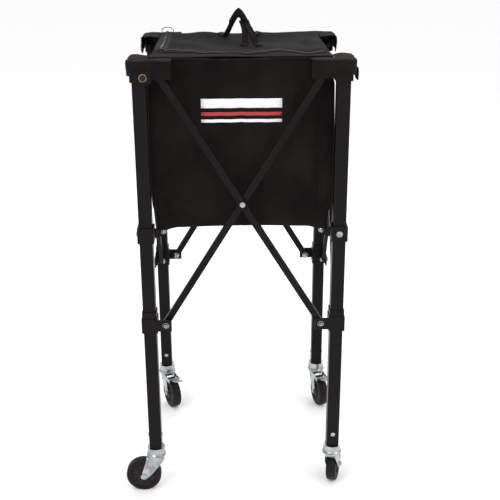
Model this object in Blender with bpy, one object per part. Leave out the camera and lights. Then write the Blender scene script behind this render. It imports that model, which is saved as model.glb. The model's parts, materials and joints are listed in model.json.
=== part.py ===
"""Folding tennis-ball cart: a zip-lid bag on four casters, with a scissor brace on each side.

Metres, +Z up. The origin is on the floor, in the middle of the cart's overall box. The front is -Y.
Corners run anticlockwise seen from above: 0 front left, 1 front right, 2 back right, 3 back left.
Side k joins corner k to corner k + 1, and every corner and side is the same one turned by 90 degrees.
"""

import math

import bmesh
import bpy
from mathutils import Matrix, Vector

CORNERS = ("front_left", "front_right", "back_right", "back_left")
SIDES = ("front", "right", "back", "left")

# One front caster trails to the left, so the legs' centre is right of the middle of the box
LEGS_CENTRE = Vector((0.01854, 0.0, 0.0))

# Legs and their clamps
LEG_HALF_SPACING = 0.192
TUBE_HALF = 0.013
TUBE_WALL = 0.0015
LEG_LOW = 0.1075
LEG_TOP = 0.935
COLLAR_HALF = 0.0165
COLLAR_BORE_HALF = 0.0133
NECK_HALF = 0.0150
UPPER_COLLAR_Z = (0.581, 0.613)
SLIDER_Z = (0.385, 0.417)
SLIDER_NECK_TOP = 0.431
EAR_REACH = 0.037
EAR_Z = (0.582, 0.602)
EAR_HALF_THICKNESS = 0.0015
EAR_SCREW_INSET = 0.006
EAR_SCREW_RADIUS = 0.005
EAR_SCREW_HALF_LENGTH = 0.0045
FACE_SCREW_HEIGHT = 0.0025
BRACKET_DEPTH = 0.018

# Scissor braces: pivots are inboard of the leg axis, arms in two layers outside the bag
PIVOT_INSET = 0.033
PIVOT_TOP_Z = 0.918
PIVOT_LOW_Z = 0.402
ARM_HALF_WIDTH = 0.0068
OUTER_ARM_Y = (-0.0130, -0.0050)
INNER_ARM_Y = (-0.0045, 0.0035)
LUG_Y = (-0.0165, -0.0135)
LUG_REACH = 0.045
LUG_HALF_HEIGHT = 0.0125
PIN_RADIUS = 0.003
PIN_HOLE_RADIUS = 0.0034
HEAD_RADIUS = 0.0055
HEAD_HEIGHT = 0.003
RIVET_HEAD_HEIGHT = 0.0025

# Clearance between pieces, how far joined shapes run into each other, and how far a cutter runs past
GAP = 0.0003
OVERLAP = 0.001
OVERRUN = 0.01

# Casters
WHEEL_RADIUS = 0.038
WHEEL_HALF_WIDTH = 0.011
WHEEL_SIDES = 24
TRAIL = 0.029
AXLE_RADIUS = 0.004
FORK_PLATE_Y = (0.0125, 0.0150)
FORK_RACE_RADIUS = 0.021
FORK_RACE_Z = (0.0830, 0.0935)
FORK_CROWN_X = (-0.026, 0.016)
FORK_CROWN_Z = (0.0800, 0.0838)
FORK_FRONT_LOW = 0.078
FORK_TIP_RADIUS = 0.009
STEM_RACE_RADIUS = 0.019
STEM_RACE_Z = (0.0940, 0.1070)
STEM_RADIUS = 0.010
STEM_TOP = 0.140
HUB_RADIUS = 0.011
HUB_PROUD = 0.0008
RECESS_RADII = (0.013, 0.025)
RECESS_DEPTH = 0.003
RIM_RADIUS = 0.028
TREAD_ROUND = (0.003, 0.004)
CASTER_HEADINGS = {0: 180.0, 1: 74.0, 2: -75.0, 3: -65.0}
BRAKED = (2, 3)
PEDAL_PIVOT = (-0.043, 0.0805)
PEDAL_TIP = (-0.082, 0.0935)
PEDAL_HALF_WIDTH = 0.009
PEDAL_HALF_THICKNESS = 0.0012
PEDAL_PIN_RADIUS = 0.0022
PEDAL_EAR_HALF = 0.004
PEDAL_EAR_FRONT = -0.020

# Bag
BAG_HALF = 0.174
CLOTH = 0.003
BAG_LOW = 0.606
BAG_RIM = 0.938
SEAM = 0.0005
PANEL_LOW = BAG_LOW + 0.0045
LID_LOW = BAG_RIM + SEAM
LID_HEM = 0.006
SLEEVE_OUT = 0.0235
SLEEVE_IN = 0.062
SLEEVE_LOW = 0.901
SLEEVE_TOP = LID_LOW + CLOTH

# Handle: two webbing loops meeting in one wrapped grip
HANDLE_BACK_Y = 0.115
HANDLE_FRONT_Y = 0.014
HANDLE_TOP = (0.0, 0.064, 1.012)
HANDLE_FOOT_X = 0.040
WEBBING_HALF_WIDTH = 0.010
WEBBING_HALF_THICKNESS = 0.0015
HANDLE_FOOT_LIFT = 0.0022
GRIP_HALF_LENGTH = 0.022
GRIP_RADIUS = 0.009

# Zipper slider, on the lid's straight left run
SLIDER_HALF_SIZE = (0.005, 0.007)
SLIDER_HEIGHT = 0.004
SLIDER_SIDE_INSET = 0.012
SLIDER_BACK_Y = 0.150


def clear_scene():
    for obj in list(bpy.data.objects):
        bpy.data.objects.remove(obj)


def material(name, colour, roughness, metallic=0.0):
    made = bpy.data.materials.new(name)
    made.use_nodes = True
    shader = made.node_tree.nodes["Principled BSDF"]
    shader.inputs["Base Color"].default_value = (*colour, 1.0)
    shader.inputs["Roughness"].default_value = roughness
    shader.inputs["Metallic"].default_value = metallic
    return made


# ---- temporary solids, which become meshes through solid_mesh ----


def scratch(bm):
    bmesh.ops.recalc_face_normals(bm, faces=bm.faces)
    mesh = bpy.data.meshes.new("scratch")
    bm.to_mesh(mesh)
    bm.free()
    obj = bpy.data.objects.new("scratch", mesh)
    bpy.context.scene.collection.objects.link(obj)
    return obj


def block(low, high):
    bm = bmesh.new()
    size = Vector(high) - Vector(low)
    middle = (Vector(high) + Vector(low)) / 2
    bmesh.ops.create_cube(bm, size=1.0, matrix=Matrix.Translation(middle) @ Matrix.Diagonal((*size, 1.0)))
    return scratch(bm)


def rod(start, end, radius, sides=12):
    bm = bmesh.new()
    along = Vector(end) - Vector(start)
    turn = along.to_track_quat("Z", "Y").to_matrix().to_4x4()
    place = Matrix.Translation((Vector(start) + Vector(end)) / 2) @ turn
    bmesh.ops.create_cone(
        bm, cap_ends=True, segments=sides, radius1=radius, radius2=radius, depth=along.length, matrix=place
    )
    return scratch(bm)


def plate_xz(outline, low_y, high_y):
    """A flat plate whose outline is given as (x, z) points, between two Y planes."""
    bm = bmesh.new()
    face = bm.faces.new([bm.verts.new((x, low_y, z)) for x, z in outline])
    grown = bmesh.ops.extrude_face_region(bm, geom=[face])
    moved = [item for item in grown["geom"] if isinstance(item, bmesh.types.BMVert)]
    bmesh.ops.translate(bm, verts=moved, vec=(0.0, high_y - low_y, 0.0))
    return scratch(bm)


def strip(points, half_width, half_thickness):
    """A flat strip with its width along X, through the given (x, y, z) points."""
    bm = bmesh.new()
    rings = []
    for index, point in enumerate(points):
        before = Vector(points[max(index - 1, 0)])
        after = Vector(points[min(index + 1, len(points) - 1)])
        normal = (after - before).cross(Vector((1.0, 0.0, 0.0))).normalized() * half_thickness
        wide = Vector((half_width, 0.0, 0.0))
        centre = Vector(point)
        turns = ((-1, -1), (1, -1), (1, 1), (-1, 1))
        rings.append([bm.verts.new(centre + a * wide + b * normal) for a, b in turns])
    for first, second in zip(rings, rings[1:]):
        for corner in range(4):
            after = (corner + 1) % 4
            bm.faces.new((first[corner], first[after], second[after], second[corner]))
    bm.faces.new(rings[0])
    bm.faces.new(rings[-1])
    return scratch(bm)


def arc(centre, radius, start, stop, steps):
    """Points of an arc in the XZ plane, angles in degrees from +X towards +Z."""
    angles = [math.radians(start + (stop - start) * step / steps) for step in range(steps + 1)]
    return [(centre[0] + radius * math.cos(a), centre[1] + radius * math.sin(a)) for a in angles]


def solid_mesh(first, added=(), cut=()):
    """The mesh of one solid: the first shape, with others joined to it and then others cut from it."""
    for operation, shapes in (("UNION", added), ("DIFFERENCE", cut)):
        for shape in shapes:
            modifier = first.modifiers.new(operation, "BOOLEAN")
            modifier.operation = operation
            modifier.solver = "EXACT"
            modifier.object = shape
    bpy.context.view_layer.update()
    graph = bpy.context.evaluated_depsgraph_get()
    mesh = bpy.data.meshes.new_from_object(first.evaluated_get(graph))
    for shape in (first, *added, *cut):
        bpy.data.objects.remove(shape)
    return mesh


def place(name, mesh, look, point=(0.0, 0.0, 0.0), turn=0.0, heading=0.0, smooth=False):
    """Adds a node: its own point turned about the legs' centre, then its own heading about Z."""
    spin = Matrix.Rotation(math.radians(turn), 3, "Z")
    obj = bpy.data.objects.new(name, mesh.copy())
    obj.data.materials.clear()
    obj.data.materials.append(look)
    if smooth:
        obj.data.shade_smooth()
        obj.data.set_sharp_from_angle(angle=math.radians(35))
    obj.location = LEGS_CENTRE + spin @ Vector(point)
    obj.rotation_euler.z = math.radians(turn + heading)
    bpy.context.scene.collection.objects.link(obj)
    return obj


# ---- legs, brackets and collars, drawn for corner 0 with the leg axis at the local origin ----


def leg_mesh():
    bore = TUBE_HALF - TUBE_WALL
    outer = block((-TUBE_HALF, -TUBE_HALF, LEG_LOW), (TUBE_HALF, TUBE_HALF, LEG_TOP))
    return solid_mesh(outer, cut=[block((-bore, -bore, LEG_LOW - OVERRUN), (bore, bore, LEG_TOP + OVERRUN))])


def pivot_screw(z, arm_y):
    """Head, spacer, shank and nut of one arm pivot on the front lug; the arm turns between spacer and nut."""
    x = PIVOT_INSET
    shapes = [rod((x, LUG_Y[0] - HEAD_HEIGHT, z), (x, LUG_Y[0] + OVERLAP, z), HEAD_RADIUS)]
    shapes.append(rod((x, LUG_Y[0], z), (x, arm_y[1] + HEAD_HEIGHT, z), PIN_RADIUS))
    shapes.append(rod((x, arm_y[1] + GAP, z), (x, arm_y[1] + HEAD_HEIGHT + GAP, z), HEAD_RADIUS, 6))
    if arm_y[0] - GAP > LUG_Y[1] + OVERLAP:
        shapes.append(rod((x, LUG_Y[1] - OVERLAP, z), (x, arm_y[0] - GAP, z), HEAD_RADIUS))
    return shapes


def lug(z):
    return block(
        (COLLAR_HALF - 2 * OVERLAP, LUG_Y[0], z - LUG_HALF_HEIGHT),
        (LUG_REACH, LUG_Y[1], z + LUG_HALF_HEIGHT),
    )


def to_left_side(shapes):
    """Mirrors front-side shapes across the corner's diagonal, onto the left side."""
    swap = Matrix(((0, 1, 0, 0), (1, 0, 0, 0), (0, 0, 1, 0), (0, 0, 0, 1)))
    for shape in shapes:
        shape.data.transform(swap)
        shape.data.flip_normals()
    return shapes


def bracket_mesh(z_range, pivot_z, front_arm_y, left_arm_y, bore_top, neck_top=None):
    """A square collar with a lug and a pivot screw on each outer side, and a slimmer neck if it slides."""
    low, high = z_range
    ring = block((-COLLAR_HALF, -COLLAR_HALF, low), (COLLAR_HALF, COLLAR_HALF, high))
    bore = COLLAR_BORE_HALF
    front = [lug(pivot_z), *pivot_screw(pivot_z, front_arm_y)]
    left = to_left_side([lug(pivot_z), *pivot_screw(pivot_z, left_arm_y)])
    neck = [block((-NECK_HALF, -NECK_HALF, low), (NECK_HALF, NECK_HALF, neck_top))] if neck_top else []
    hole = block((-bore, -bore, low - OVERRUN), (bore, bore, bore_top))
    return solid_mesh(ring, neck + front + left, [hole])


def upper_collar_mesh():
    low, high = UPPER_COLLAR_Z
    ring = block((-COLLAR_HALF, -COLLAR_HALF, low), (COLLAR_HALF, COLLAR_HALF, high))
    start, thick, half = COLLAR_HALF - 3 * OVERLAP, EAR_HALF_THICKNESS, EAR_SCREW_HALF_LENGTH
    ear = block((start * math.sqrt(2), -thick, EAR_Z[0]), (EAR_REACH * math.sqrt(2), thick, EAR_Z[1]))
    reach = (EAR_REACH - EAR_SCREW_INSET) * math.sqrt(2)
    middle = sum(EAR_Z) / 2
    screw = rod((reach, -half, middle), (reach, half, middle), EAR_SCREW_RADIUS)
    for shape in (ear, screw):
        shape.data.transform(Matrix.Rotation(math.radians(45), 4, "Z"))
    middle_z = sum(UPPER_COLLAR_Z) / 2
    outside, inside = -COLLAR_HALF - FACE_SCREW_HEIGHT, -COLLAR_HALF + OVERLAP
    face_screw = rod((outside, 0.0, middle_z), (inside, 0.0, middle_z), EAR_SCREW_RADIUS)
    bore = COLLAR_BORE_HALF
    hole = block((-bore, -bore, low - OVERRUN), (bore, bore, high + OVERRUN))
    return solid_mesh(ring, [ear, screw, face_screw], [hole])


def build_legs(paint):
    corner = (-LEG_HALF_SPACING, -LEG_HALF_SPACING, 0.0)
    top_bracket = bracket_mesh(
        (PIVOT_TOP_Z - BRACKET_DEPTH, BAG_RIM), PIVOT_TOP_Z, OUTER_ARM_Y, INNER_ARM_Y, LEG_TOP + GAP
    )
    clear = SLIDER_NECK_TOP + OVERRUN
    slider = bracket_mesh(SLIDER_Z, PIVOT_LOW_Z, INNER_ARM_Y, OUTER_ARM_Y, clear, SLIDER_NECK_TOP)
    meshes = {
        "leg": leg_mesh(),
        "top_bracket": top_bracket,
        "upper_collar": upper_collar_mesh(),
        "sliding_collar": slider,
    }
    for index, name in enumerate(CORNERS):
        for kind, mesh in meshes.items():
            place(f"{kind}_{name}", mesh, paint, corner, 90.0 * index)


# ---- scissor arms, drawn for side 0 with the top pivot at the local origin ----


def arm_mesh(layer, towards):
    """One arm from its top pivot at the origin to its low pivot, on the +X (1) or -X (-1) side."""
    span = 2 * (LEG_HALF_SPACING - PIVOT_INSET)
    drop = PIVOT_TOP_Z - PIVOT_LOW_Z
    length = math.hypot(span, drop)
    half = ARM_HALF_WIDTH
    outline = arc((0.0, 0.0), half, 0, 180, 6) + arc((0.0, -length), half, 180, 360, 6)
    arm = plate_xz(outline, *layer)
    holes = [
        rod((0.0, layer[0] - OVERRUN, z), (0.0, layer[1] + OVERRUN, z), PIN_HOLE_RADIUS)
        for z in (0.0, -length / 2, -length)
    ]
    mesh = solid_mesh(arm, cut=holes)
    mesh.transform(Matrix.Rotation(-towards * math.atan2(span, drop), 4, "Y"))
    return mesh


def rivet_mesh():
    outside, inside = OUTER_ARM_Y[0] - GAP, INNER_ARM_Y[1] + GAP
    shank = rod((0.0, outside - OVERLAP, 0.0), (0.0, inside + OVERLAP, 0.0), PIN_RADIUS)
    heads = [
        rod((0.0, outside - RIVET_HEAD_HEIGHT, 0.0), (0.0, outside, 0.0), HEAD_RADIUS),
        rod((0.0, inside, 0.0), (0.0, inside + RIVET_HEAD_HEIGHT, 0.0), HEAD_RADIUS),
    ]
    return solid_mesh(shank, heads)


def build_arms(paint, zinc):
    reach = LEG_HALF_SPACING - PIVOT_INSET
    outer, inner, rivet = arm_mesh(OUTER_ARM_Y, 1), arm_mesh(INNER_ARM_Y, -1), rivet_mesh()
    middle_z = (PIVOT_TOP_Z + PIVOT_LOW_Z) / 2
    for index, side in enumerate(SIDES):
        turn = 90.0 * index
        place(f"outer_arm_{side}", outer, paint, (-reach, -LEG_HALF_SPACING, PIVOT_TOP_Z), turn)
        place(f"inner_arm_{side}", inner, paint, (reach, -LEG_HALF_SPACING, PIVOT_TOP_Z), turn)
        place(f"centre_rivet_{side}", rivet, zinc, (0.0, -LEG_HALF_SPACING, middle_z), turn, smooth=True)


# ---- casters, drawn trailing towards -X with the swivel axis at the local origin ----


def stem_mesh():
    low, high = STEM_RACE_Z
    race = rod((0.0, 0.0, low), (0.0, 0.0, high), STEM_RACE_RADIUS, 20)
    return solid_mesh(race, [rod((0.0, 0.0, high - 2 * OVERLAP), (0.0, 0.0, STEM_TOP), STEM_RADIUS)])


def fork_mesh(braked):
    axle = (-TRAIL, WHEEL_RADIUS)
    back, front = FORK_CROWN_X
    under, over = FORK_CROWN_Z
    outline = arc(axle, FORK_TIP_RADIUS, 170, 330, 6) + [(front, FORK_FRONT_LOW), (front, over), (back, over)]
    race = rod((0.0, 0.0, FORK_RACE_Z[0]), (0.0, 0.0, FORK_RACE_Z[1]), FORK_RACE_RADIUS, 20)
    near, far = FORK_PLATE_Y
    bridge = block((back, -far, under), (front, far, over))
    plates = [plate_xz(outline, -far, -near), plate_xz(outline, near, far)]
    end = far + HEAD_HEIGHT
    shaft = rod((axle[0], -end, axle[1]), (axle[0], end, axle[1]), AXLE_RADIUS)
    if braked:
        x, z = PEDAL_PIVOT
        for side in (-1, 1):
            low, high = sorted((side * near, side * far))
            plates.append(block((x - PEDAL_EAR_HALF, low, z - PEDAL_EAR_HALF), (PEDAL_EAR_FRONT, high, over)))
    return solid_mesh(race, [bridge, *plates, shaft])


def wheel_mesh():
    """A turned wheel about its own axle: hub, recessed side and a tread with rounded shoulders."""
    half = WHEEL_HALF_WIDTH
    tread = WHEEL_RADIUS / math.cos(math.pi / WHEEL_SIDES)
    bore = AXLE_RADIUS + GAP
    proud, floor = half + HUB_PROUD, half - RECESS_DEPTH
    side = [(bore, proud), (HUB_RADIUS, proud), (RECESS_RADII[0], floor), (RECESS_RADII[1], floor)]
    side += [(RIM_RADIUS, half), (tread - TREAD_ROUND[0], half), (tread, half - TREAD_ROUND[1])]
    profile = side + [(radius, -y) for radius, y in reversed(side)]
    bm = bmesh.new()
    rings = []
    for step in range(WHEEL_SIDES):
        angle = 2 * math.pi * (step + 0.5) / WHEEL_SIDES
        rings.append([bm.verts.new((r * math.sin(angle), y, r * math.cos(angle))) for r, y in profile])
    for first, second in zip(rings, rings[1:] + rings[:1]):
        for index in range(len(profile)):
            after = (index + 1) % len(profile)
            bm.faces.new((first[index], first[after], second[after], second[index]))
    return solid_mesh(scratch(bm))


def pedal_mesh():
    """A brake pedal about its own pivot: a sloping plate on a cross pin."""
    reach, rise = PEDAL_TIP[0] - PEDAL_PIVOT[0], PEDAL_TIP[1] - PEDAL_PIVOT[1]
    thick = PEDAL_HALF_THICKNESS
    outline = [(0.0, -thick), (0.0, thick), (reach, rise + thick), (reach, rise - thick)]
    plate = plate_xz(outline, -PEDAL_HALF_WIDTH, PEDAL_HALF_WIDTH)
    near = FORK_PLATE_Y[0] - GAP
    return solid_mesh(plate, [rod((0.0, -near, 0.0), (0.0, near, 0.0), PEDAL_PIN_RADIUS)])


def build_casters(zinc, rubber, steel):
    stem, wheel, pedal = stem_mesh(), wheel_mesh(), pedal_mesh()
    forks = {False: fork_mesh(False), True: fork_mesh(True)}
    corner = Vector((-LEG_HALF_SPACING, -LEG_HALF_SPACING, 0.0))
    for index, name in enumerate(CORNERS):
        turn = 90.0 * index
        swivel = Matrix.Rotation(math.radians(turn), 3, "Z") @ corner
        heading = CASTER_HEADINGS[index] - 180.0
        away = Matrix.Rotation(math.radians(heading), 3, "Z")
        place(f"caster_stem_{name}", stem, zinc, swivel, smooth=True)
        place(f"caster_fork_{name}", forks[index in BRAKED], zinc, swivel, heading=heading)
        axle = swivel + away @ Vector((-TRAIL, 0.0, WHEEL_RADIUS))
        place(f"caster_wheel_{name}", wheel, rubber, axle, heading=heading, smooth=True)
        if index in BRAKED:
            hinge = swivel + away @ Vector((PEDAL_PIVOT[0], 0.0, PEDAL_PIVOT[1]))
            place(f"brake_pedal_{name}", pedal, steel, hinge, heading=heading)


# ---- bag ----


def panel_mesh(half_length):
    return solid_mesh(block((-half_length, 0.0, PANEL_LOW), (half_length, CLOTH, BAG_RIM)))


def build_bag(cloth):
    wide, narrow = panel_mesh(BAG_HALF), panel_mesh(BAG_HALF - CLOTH - SEAM)
    for index, side in enumerate(SIDES):
        place(f"bag_panel_{side}", narrow if index % 2 else wide, cloth, (0.0, -BAG_HALF, 0.0), 90.0 * index)
    half_x = BAG_HALF - SEAM
    floor_top = BAG_LOW + CLOTH
    floor_half = solid_mesh(block((-half_x, 0.0, BAG_LOW), (half_x, BAG_HALF - GAP, floor_top)))
    place("bag_floor_front", floor_half, cloth, (0.0, -BAG_HALF, 0.0))
    place("bag_floor_rear", floor_half, cloth, (0.0, -BAG_HALF, 0.0), 180.0)
    top = LID_LOW + CLOTH
    hem = solid_mesh(block((-half_x, -LID_HEM, LID_LOW), (half_x, 0.0, top)))
    place("lid_hem", hem, cloth, (0.0, BAG_HALF, 0.0))
    rear = solid_mesh(block((-half_x, GAP - BAG_HALF, LID_LOW), (half_x, -LID_HEM - GAP, top)))
    place("lid_rear", rear, cloth, (0.0, BAG_HALF, 0.0))
    front = solid_mesh(block((-half_x, -BAG_HALF, LID_LOW), (half_x, -GAP, top)))
    place("lid_front", front, cloth)


def sleeve_mesh():
    """A cloth cap over one leg top: an L-shaped lid with a wall on each outer side."""
    out, inside, inner = -SLEEVE_OUT, SLEEVE_IN, LEG_HALF_SPACING - BAG_HALF - 2 * SEAM
    front_wall = block((out, out, SLEEVE_LOW), (inside, out + CLOTH, SLEEVE_TOP))
    left_wall = block((out, out, SLEEVE_LOW), (out + CLOTH, inside, SLEEVE_TOP))
    front_top = block((out, out, LID_LOW), (inside, inner, SLEEVE_TOP))
    left_top = block((out, out, LID_LOW), (inner, inside, SLEEVE_TOP))
    return solid_mesh(front_wall, [left_wall, front_top, left_top])


def handle_mesh():
    """Two webbing loops as four strips that meet in a wrapped grip, whose axis is along X."""
    top = Vector(HANDLE_TOP)
    foot_z = SLEEVE_TOP + HANDLE_FOOT_LIFT
    strips = []
    for foot_y in (HANDLE_BACK_Y, HANDLE_FRONT_Y):
        for side in (-1, 1):
            foot = Vector((side * (HANDLE_FOOT_X - WEBBING_HALF_WIDTH), foot_y, foot_z))
            end = top + Vector((side * WEBBING_HALF_WIDTH * 0.6, 0.0, 0.0))
            strips.append(strip([foot, end], WEBBING_HALF_WIDTH, WEBBING_HALF_THICKNESS))
    half_grip = Vector((GRIP_HALF_LENGTH, 0.0, 0.0))
    return solid_mesh(rod(top - half_grip, top + half_grip, GRIP_RADIUS), strips)


def build_trim(cloth, webbing, steel):
    corner = (-LEG_HALF_SPACING, -LEG_HALF_SPACING, 0.0)
    sleeve = sleeve_mesh()
    for index, name in enumerate(CORNERS):
        place(f"corner_sleeve_{name}", sleeve, cloth, corner, 90.0 * index)
    place("carry_handle", handle_mesh(), webbing)
    half_x, half_y = SLIDER_HALF_SIZE
    slider = solid_mesh(block((-half_x, -half_y, 0.0), (half_x, half_y, SLIDER_HEIGHT)))
    place("zipper_pull", slider, steel, (-BAG_HALF + SLIDER_SIDE_INSET, SLIDER_BACK_Y, SLEEVE_TOP + GAP))


def main():
    clear_scene()
    paint = material("black_powder_coat", (0.012, 0.011, 0.011), 0.42, 0.2)
    zinc = material("zinc_plate", (0.72, 0.73, 0.74), 0.24, 1.0)
    rubber = material("wheel_rubber", (0.020, 0.018, 0.018), 0.60)
    steel = material("brake_steel", (0.40, 0.40, 0.41), 0.35, 1.0)
    cloth = material("bag_cloth", (0.016, 0.014, 0.014), 0.90)
    webbing = material("webbing", (0.014, 0.012, 0.012), 0.85)
    build_legs(paint)
    build_arms(paint, zinc)
    build_casters(zinc, rubber, steel)
    build_bag(cloth)
    build_trim(cloth, webbing, steel)


main()
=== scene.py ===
import json
import math

import bmesh
import bpy
import numpy as np
from mathutils import Matrix, Vector
from mathutils.bvhtree import BVHTree

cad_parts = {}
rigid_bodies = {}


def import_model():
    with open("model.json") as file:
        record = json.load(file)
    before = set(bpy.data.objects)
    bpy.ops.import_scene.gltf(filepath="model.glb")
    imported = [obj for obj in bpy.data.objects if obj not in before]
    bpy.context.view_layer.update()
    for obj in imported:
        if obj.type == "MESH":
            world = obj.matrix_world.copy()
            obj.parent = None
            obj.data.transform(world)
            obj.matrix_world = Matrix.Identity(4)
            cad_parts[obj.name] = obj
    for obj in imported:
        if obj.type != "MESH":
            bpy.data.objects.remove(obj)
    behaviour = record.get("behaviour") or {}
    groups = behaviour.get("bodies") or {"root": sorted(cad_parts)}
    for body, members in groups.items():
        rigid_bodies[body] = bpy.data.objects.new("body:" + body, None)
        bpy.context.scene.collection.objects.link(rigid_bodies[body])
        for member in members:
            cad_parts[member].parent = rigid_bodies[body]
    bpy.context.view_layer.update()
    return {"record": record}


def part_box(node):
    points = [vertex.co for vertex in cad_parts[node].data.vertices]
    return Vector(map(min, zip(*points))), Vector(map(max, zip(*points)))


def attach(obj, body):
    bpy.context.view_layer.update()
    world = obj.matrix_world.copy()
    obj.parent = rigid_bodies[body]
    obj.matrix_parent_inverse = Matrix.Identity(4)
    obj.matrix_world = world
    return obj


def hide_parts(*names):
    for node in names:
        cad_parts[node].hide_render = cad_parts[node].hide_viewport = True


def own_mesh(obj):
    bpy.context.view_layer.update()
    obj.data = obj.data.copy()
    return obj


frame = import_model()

CORNERS = ("front_left", "front_right", "back_right", "back_left")
SIDES = ("front", "right", "back", "left")
LEG_LOW, LEG_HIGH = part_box("leg_front_left")
RIGHT_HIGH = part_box("leg_front_right")[1]
MIDDLE = Vector(((LEG_LOW[0] + RIGHT_HIGH[0]) / 2, 0.0, 0.0))
TUBE = (LEG_HIGH[0] - LEG_LOW[0]) / 2
LEG = (RIGHT_HIGH[0] - LEG_LOW[0]) / 2 - TUBE
PANEL_LOW, PANEL_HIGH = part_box("bag_panel_front")
BAG = (PANEL_HIGH[0] - PANEL_LOW[0]) / 2
RIM = PANEL_HIGH[2]
FLOOR_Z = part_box("bag_floor_front")[0][2]
LID_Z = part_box("lid_rear")[0][2]
PIVOT_INSET = 0.033
PIVOT_TOP_Z = 0.918
PIVOT_LOW_Z = 0.402
NUT_ON_INNER_ARM = 0.0038
NUT_ON_OUTER_ARM = -0.0047
EAR_AT = 0.031
EAR_Z = 0.592
COLLAR_SCREW_Z = 0.597
COLLAR_FACE = 0.0166
DRAPE_FRAMES = 22
DRAPE_CAP = 0.0085
STRAP_LIFT = 0.0022
STRAND_STEPS = 14
GRIP_STEPS = 24
GRIP_SIDES = 20
GRIP_DROP = 0.0235
PRINT_HALF_WIDTH = 0.078
WEBBING_SECTION = (
    (-1, -0.3), (-0.86, -1), (0, -1.1), (0.86, -1), (1, -0.3),
    (1, 0.3), (0.86, 1), (0, 1.1), (-0.86, 1), (-1, 0.3),
)


# ---- helpers ----


def link(obj):
    bpy.context.scene.collection.objects.link(obj)
    return obj


def from_bmesh(name, bm, look, smooth=True):
    bmesh.ops.recalc_face_normals(bm, faces=bm.faces)
    mesh = bpy.data.meshes.new(name)
    bm.to_mesh(mesh)
    bm.free()
    if smooth:
        mesh.shade_smooth()
        mesh.set_sharp_from_angle(angle=math.radians(40))
    obj = link(bpy.data.objects.new(name, mesh))
    mesh.materials.append(look)
    return obj


def applied(obj):
    """Applies the object's modifiers to its mesh."""
    bpy.context.view_layer.update()
    graph = bpy.context.evaluated_depsgraph_get()
    mesh = bpy.data.meshes.new_from_object(obj.evaluated_get(graph))
    obj.modifiers.clear()
    obj.data = mesh
    return obj


def joined(name, objects):
    """One object from several meshes, in place."""
    bm = bmesh.new()
    looks = []
    for obj in objects:
        start = len(bm.faces)
        mesh = obj.data.copy()
        mesh.transform(obj.matrix_world)
        bm.from_mesh(mesh)
        bm.faces.ensure_lookup_table()
        look = obj.data.materials[0]
        if look not in looks:
            looks.append(look)
        for index in range(start, len(bm.faces)):
            bm.faces[index].material_index = looks.index(look)
        bpy.data.objects.remove(obj)
        bpy.data.meshes.remove(mesh)
    mesh = bpy.data.meshes.new(name)
    bm.to_mesh(mesh)
    bm.free()
    made = link(bpy.data.objects.new(name, mesh))
    for look in looks:
        mesh.materials.append(look)
    return made


def turned(profile, sides, axis="Z"):
    """A bmesh of revolution about an axis, from (radius, height) points; ends at radius 0 close."""
    bm = bmesh.new()
    rings = []
    for step in range(sides):
        angle = 2 * math.pi * step / sides
        ring = []
        for radius, height in profile:
            point = (radius * math.cos(angle), radius * math.sin(angle), height)
            ring.append(bm.verts.new(point))
        rings.append(ring)
    for first, second in zip(rings, rings[1:] + rings[:1]):
        for index in range(len(profile) - 1):
            bm.faces.new((first[index], second[index], second[index + 1], first[index + 1]))
    bmesh.ops.remove_doubles(bm, verts=bm.verts, dist=1e-6)
    if axis == "Y":
        bm.transform(Matrix.Rotation(math.radians(-90), 4, "X"))
    return bm


def rounded_box(low, high, bevel, segments=3):
    bm = bmesh.new()
    size = Vector(high) - Vector(low)
    middle = (Vector(high) + Vector(low)) / 2
    bmesh.ops.create_cube(bm, size=1.0, matrix=Matrix.Translation(middle) @ Matrix.Diagonal((*size, 1.0)))
    bmesh.ops.bevel(bm, geom=bm.edges[:], offset=bevel, segments=segments, profile=0.5, affect="EDGES")
    return bm


def corner_place(index, point):
    """A point drawn at the front-left corner, relative to the leg axis, turned to corner index."""
    spin = Matrix.Rotation(math.radians(90 * index), 3, "Z")
    return spin @ (Vector((-LEG, -LEG, 0.0)) + Vector(point))


def seat(piece):
    """Moves a piece drawn round the legs' centre to its place in the frame."""
    piece.data.transform(Matrix.Translation(MIDDLE))
    return piece


def seated_box(node):
    """A node's corners, measured from the legs' centre."""
    low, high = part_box(node)
    return Vector(low) - MIDDLE, Vector(high) - MIDDLE


def corner_turn(index):
    return Matrix.Rotation(math.radians(90 * index), 4, "Z") @ Matrix.Translation((-LEG, -LEG, 0.0))


# ---- materials ----


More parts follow.
